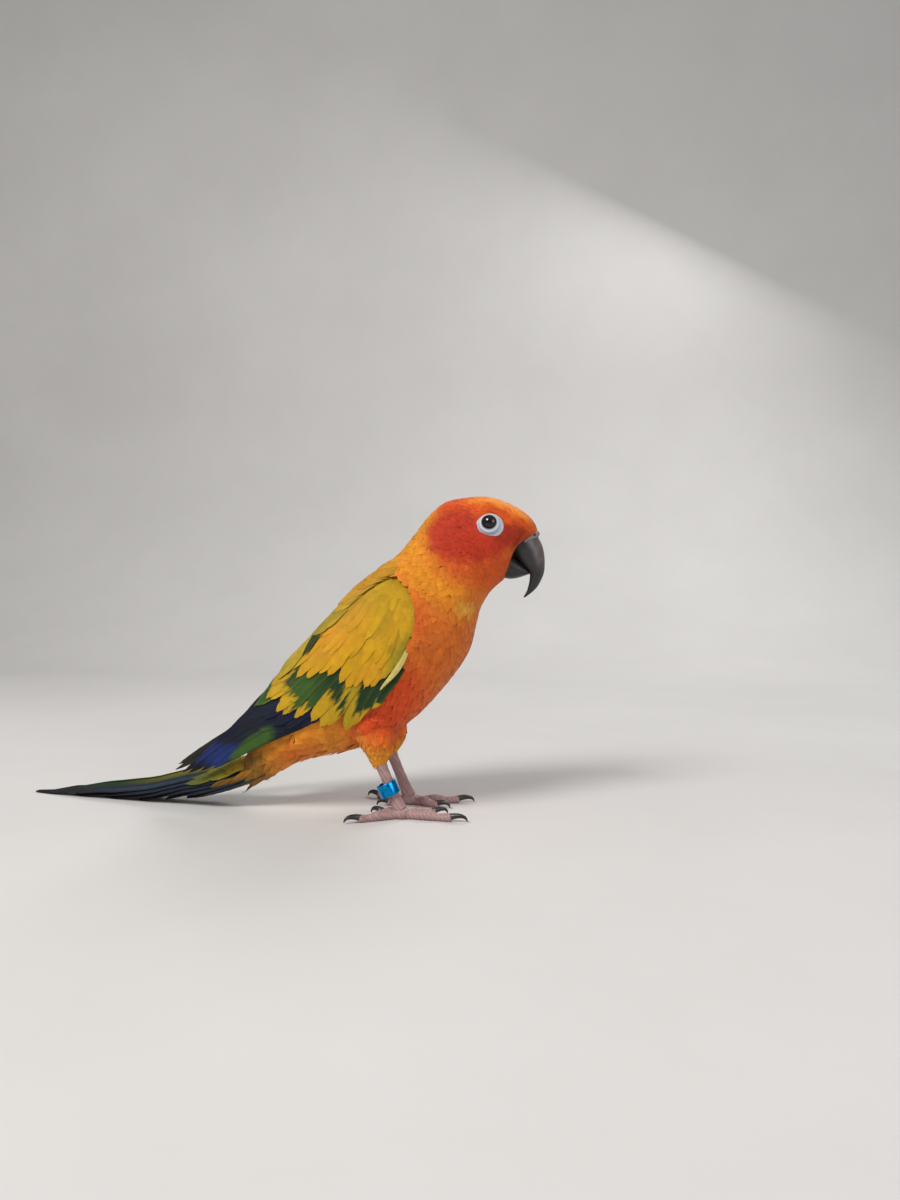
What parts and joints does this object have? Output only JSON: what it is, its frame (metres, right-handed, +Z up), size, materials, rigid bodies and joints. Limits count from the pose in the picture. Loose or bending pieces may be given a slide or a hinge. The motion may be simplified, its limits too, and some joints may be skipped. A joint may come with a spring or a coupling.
{
  "type": "sun conure",
  "caption": "Life-size sun conure standing still with folded wings, its long tail laid along the floor and a plain band round one leg.",
  "frame": {"origin": "on the floor, under the middle of the bird's bounding box", "axes": "+X the way the bird faces, +Y its left side, +Z up; the soles, claws and tail rest at z = 0"},
  "size_m": [0.2599, 0.0688, 0.1471],
  "materials": {
    "red_feathers": "soft feathers, matt",
    "yellow_feathers": "soft feathers, matt",
    "orange_feathers": "soft feathers, matt",
    "wing_feathers": "firm feathers, slight sheen",
    "tail_feathers": "firm feathers, slight sheen",
    "foot_skin": "scaly bare skin",
    "bare_skin": "thin bare skin, finely wrinkled",
    "horn": "dark horn with a soft sheen",
    "eye": "wet and glossy",
    "band_metal": "blue anodised"
  },
  "bodies": {
    "root": {"head": "red_feathers", "neck": "yellow_feathers", "torso": "orange_feathers", "tail": "tail_feathers", "wing_right": "wing_feathers", "wing_left": "wing_feathers", "thigh_right": "orange_feathers", "thigh_left": "orange_feathers", "foot_right": "foot_skin", "foot_left": "foot_skin", "leg_band": "band_metal", "eye_right": "eye", "eye_left": "eye", "eyelid_right": "bare_skin", "eyelid_left": "bare_skin", "cere": "bare_skin", "bill_upper": "horn", "bill_lower": "horn", "claw_right_outer_front": "horn", "claw_right_inner_front": "horn", "claw_right_outer_back": "horn", "claw_right_inner_back": "horn", "claw_left_outer_front": "horn", "claw_left_inner_front": "horn", "claw_left_outer_back": "horn", "claw_left_inner_back": "horn"}
  },
  "joints": []
}
